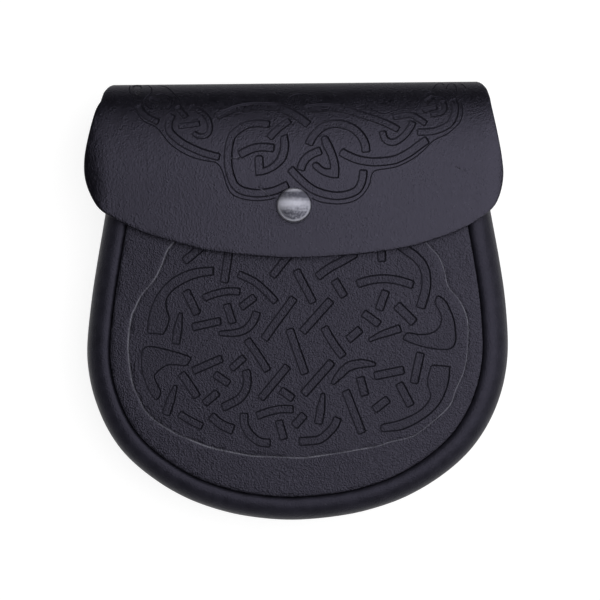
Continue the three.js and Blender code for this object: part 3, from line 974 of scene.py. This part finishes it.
panel_outline = [
    point + side * (front_rim(point.x) + rim_gap)
    for point, side in zip(rim_line, normals(rim_line))
]
panel = slab(panel_outline, panel_thickness, panel_edge_round)
bmesh.ops.bisect_plane(
    panel, geom=panel.verts[:] + panel.edges[:] + panel.faces[:], dist=1e-4,
    plane_co=(0, panel_high.y, 0), plane_no=(0, 1, 0), clear_outer=True,
)
bmesh.ops.holes_fill(panel, edges=[edge for edge in panel.edges if edge.is_boundary])
for mesh in (panel, panel_tool):
    crossed(mesh, steps_between(panel_low.x, panel_high.x, panel_step), 0)
    crossed(mesh, steps_between(panel_low.y, panel_high.y, panel_step), 1)
panel = pressed_in(panel, panel_tool)
flesh_layer = panel.verts.layers.float.new("flesh")
for vert in panel.verts:
    vert[flesh_layer] = 1.0 if vert.co.z < -panel_thickness + flesh_margin else 0.0
    vert.co.z += panel_face(vert.co.x, vert.co.y)
panel_hide = leather(
    "panel_hide", dye=(0.0065, 0.0062, 0.0091), worn=(0.13, 0.13, 0.15), shine=0.31, grain=0.7,
)
shown(panel, "pressed_panel", panel_hide, "panel_leather", "front_panel")

# -----------------------------------------------------------------------------
# Hanger loops: two strips of strap leather on the back, sewn down at both ends, with a flat bow
# between them that the belt's strap passes through.
loop_width = 18
loop_offset = 17
loop_thickness = 2.5
loop_from_top = 40.1
loop_middle = half_length - loop_from_top
loop_flat = 13
loop_slope = 5
loop_seam = 7
loop_sink = 0.3
loop_edge_round = 0.45
loop_across_step = 3
loop_bend_step = 0.8
loop_corners = [
    (-1, -0.93), (-0.87, -1), (0.87, -1), (1, -0.93), (1, 0.93), (0.87, 1), (-0.87, 1), (-1, 0.93),
]
loop_hide = leather(
    "loop_hide", dye=(0.009, 0.009, 0.012), worn=(0.05, 0.05, 0.055), shine=0.5, grain=0.5,
)


def loop_height(reach):
    """Upper side of a loop's strip, reach from its middle."""
    seat = back_face(loop_middle + reach) - loop_sink
    share = min(1, max(0, (abs(reach) - loop_flat / 2) / loop_slope))
    ease = share * share * (3 - 2 * share)
    return loop_thickness + (seat - loop_thickness) * ease


for side, node in ((-1, "hanger_loop_left"), (1, "hanger_loop_right")):
    reach = loop_flat / 2 + loop_slope + loop_seam
    middle = side * loop_offset
    strip_outline = [Vector((middle + x * loop_width / 2, y * reach)) for x, y in loop_corners]
    strip = slab(strip_outline, loop_thickness, loop_edge_round)
    left, right = middle - loop_width / 2, middle + loop_width / 2
    crossed(strip, steps_between(left, right, loop_across_step), 0)
    crossed(strip, steps_between(-reach, reach, loop_bend_step), 1)
    for vert in strip.verts:
        top = loop_height(vert.co.y)
        vert.co = (vert.co.x, loop_middle + vert.co.y, top + vert.co.z)
    shown(strip, node.replace("hanger_loop", "strap_loop"), loop_hide, "loop_leather", node)

# -----------------------------------------------------------------------------
# Seams: waxed black thread, sewn by hand. One row holds the gusset under the edge of the back
# panel, and a box of stitches holds each end of the hanger loops.
seam_inset = 3
stitch_pitch = 4.2
stitch_length = 3.1
box_pitch = 2.3
box_stitch_length = 1.8
box_from_bow = 1
box_from_end = 1.3
box_from_side = 2
stitch_sway = 0.05
thread_radius = 0.38
thread_proud = 0.2
seam_seed = 7


def sewn(seam, line, pitch, length, height):
    """Stitches along a line on the back. height gives the leather's outer side at a point."""
    count = round(sum((second - first).length for first, second in zip(line, line[1:])) / pitch)
    marks = evenly(line, 2 * count)
    for start, middle, end in zip(marks[0::2], marks[1::2], marks[2::2]):
        along = end - start
        turn = math.atan2(along.y, along.x) + random.uniform(-stitch_sway, stitch_sway)
        level = height(middle) + thread_radius - thread_proud
        matrix = Matrix.Translation((middle.x, middle.y, level)) @ Matrix.Rotation(turn, 4, "Z")
        matrix = matrix @ Matrix.Diagonal((length / 2, thread_radius, thread_radius, 1))
        bmesh.ops.create_uvsphere(seam, u_segments=8, v_segments=5, radius=1, matrix=matrix)


thread = Finish("thread")
twist = thread.noise(0.35, 2)
wax = thread.noise(6, 3)
thread_dye, thread_fuzz = (0.006, 0.006, 0.008, 1), (0.045, 0.045, 0.05, 1)
thread_colour = thread.mix(twist, thread_dye, thread_fuzz)
thread.wear(thread_colour, 0.45 + 0.25 * wax, twist, 0.5)

random.seed(seam_seed)
back_seam = bmesh.new()
seam_line = moved(rim_line, back_rim_width + rim_gap + seam_inset)
sewn(back_seam, seam_line, stitch_pitch, stitch_length, lambda point: back_face(point.y))
shown(back_seam, "back_seam", thread.material, "loop_leather", smooth=60)
for side, name in ((-1, "loop_seam_left"), (1, "loop_seam_right")):
    loop_seam_stitches = bmesh.new()
    for end in (-1, 1):
        near = loop_middle + end * (loop_flat / 2 + loop_slope + box_from_bow)
        far = loop_middle + end * (loop_flat / 2 + loop_slope + loop_seam - box_from_end)
        half = loop_width / 2 - box_from_side
        left, right = side * loop_offset - half, side * loop_offset + half
        box = [Vector(place) for place in ((left, near), (right, near), (right, far), (left, far))]
        for first, second in zip(box, box[1:] + box[:1]):
            sewn(
                loop_seam_stitches, [first, second], box_pitch, box_stitch_length,
                lambda point: loop_height(point.y - loop_middle) - loop_thickness,
            )
    shown(loop_seam_stitches, name, thread.material, "loop_leather", smooth=60)

# -----------------------------------------------------------------------------
# Press stud: a spun cap of dull antique nickel with a rolled edge and a socket barrel through the
# flap; its colour holds a faint patina mottle and painted reflection bands. It snaps over the
# nipple of a stud that is riveted through the front panel.
cap_low, cap_high = (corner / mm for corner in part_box("snap_cap"))
cap_radius = (cap_high.x - cap_low.x) / 2
cap_lift = 0.15
cap_seat = flap_top + cap_lift
cap_rise = cap_high.z - cap_seat
cap_around = 72
barrel_radius = 4.2
socket_radius = 2.5
socket_top = -0.3
edge_round = 1.1
edge_steps = 8
dome_tilt = math.radians(15)
cap_middle = Vector((snap_place.x, snap_place.y, cap_high.z)) * mm

pewter = Finish("pewter")
mottle = pewter.noise(1.1, 5)
scratches = pewter.noise(0.25, 2)
apart = {0: pewter.place, 1: cap_middle}
from_middle = pewter.node("ShaderNodeVectorMath", {"operation": "DISTANCE"}, apart, "Value")
upward = pewter.node("ShaderNodeSeparateXYZ", {}, {0: pewter.place}, "Y")
sideways = pewter.node("ShaderNodeSeparateXYZ", {}, {0: pewter.place}, "X")


def cap_band(reading, middle, start, end):
    """Turns from 0 to 1 between two distances from a middle, in millimetres."""
    return pewter.between(reading, middle + start * mm, middle + end * mm)


# Painted reflection: the masks below darken the cap's right side, a band above its middle under a
# bright top edge, and its mottled lower middle inside a bright rim, as a dome mirrors a dim room.
# Only the faint mottle over the whole cap is patina.
rightward = cap_band(sideways, cap_middle.x, -5, 6)
below_middle = cap_band(upward, cap_middle.y, 0.2, -3)
above_middle = cap_band(upward, cap_middle.y, 1.4, 3.8)
top_edge = cap_band(upward, cap_middle.y, 5.4, 6.6)
inside_rim = cap_band(from_middle, 0, 6.7, 6)
tarnish_and_painted_reflection = 0.2 * mottle + 0.55 * rightward * (1 - below_middle * inside_rim)
tarnish_and_painted_reflection = tarnish_and_painted_reflection + below_middle * inside_rim * (0.4 + 0.8 * mottle)
tarnish_and_painted_reflection = tarnish_and_painted_reflection + above_middle * (1 - top_edge) * (0.62 - 0.3 * rightward + 0.3 * mottle)
bright_nickel = (0.58, 0.58, 0.66, 1)
# Dark end of the cap's colour: patina, and the dark of the painted reflection.
dark_tarnish_and_reflection = (0.07, 0.07, 0.09, 1)
pewter_colour = pewter.mix(tarnish_and_painted_reflection, bright_nickel, dark_tarnish_and_reflection)
pewter.wear(pewter_colour, 0.4 + 0.2 * mottle, mottle + 0.3 * scratches, 0.3, metallic=1.0)

cap_profile = [
    (0, socket_top), (socket_radius, socket_top), (socket_radius, -flap_thickness),
    (barrel_radius, -flap_thickness), (barrel_radius, 0), (cap_radius * 0.9, 0),
    (cap_radius * 0.97, 0.12), (cap_radius, 0.4),
]
dome_reach = cap_radius - edge_round * (1 - math.sin(dome_tilt))
dome_radius = dome_reach / math.sin(dome_tilt)
shoulder = cap_rise - dome_radius * (1 - math.cos(dome_tilt)) - edge_round * math.cos(dome_tilt)
for step in range(edge_steps + 1):
    angle = step / edge_steps * (math.pi / 2 - dome_tilt)
    around = cap_radius - edge_round * (1 - math.cos(angle))
    cap_profile.append((around, shoulder + edge_round * math.sin(angle)))
for step in range(edge_steps - 1, -1, -1):
    angle = step / edge_steps * dome_tilt
    rise = cap_rise - dome_radius * (1 - math.cos(angle))
    cap_profile.append((dome_radius * math.sin(angle), rise))
cap = bmesh.new()
cap_verts = [cap.verts.new((radius, 0, height)) for radius, height in cap_profile]
cap_edges = [cap.edges.new(pair) for pair in zip(cap_verts, cap_verts[1:])]
bmesh.ops.spin(
    cap, geom=cap_verts + cap_edges, cent=(0, 0, 0), axis=(0, 0, 1), angle=2 * math.pi,
    steps=cap_around, use_merge=True,
)
bmesh.ops.remove_doubles(cap, verts=cap.verts, dist=0.001)
bmesh.ops.recalc_face_normals(cap, faces=cap.faces)
bmesh.ops.translate(cap, verts=cap.verts, vec=(snap_place.x, snap_place.y, cap_seat))
shown(cap, "domed_cap", pewter.material, "pewter", "snap_cap")

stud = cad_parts["snap_stud"]
stud.data.materials.clear()
stud.data.materials.append(pewter.material)
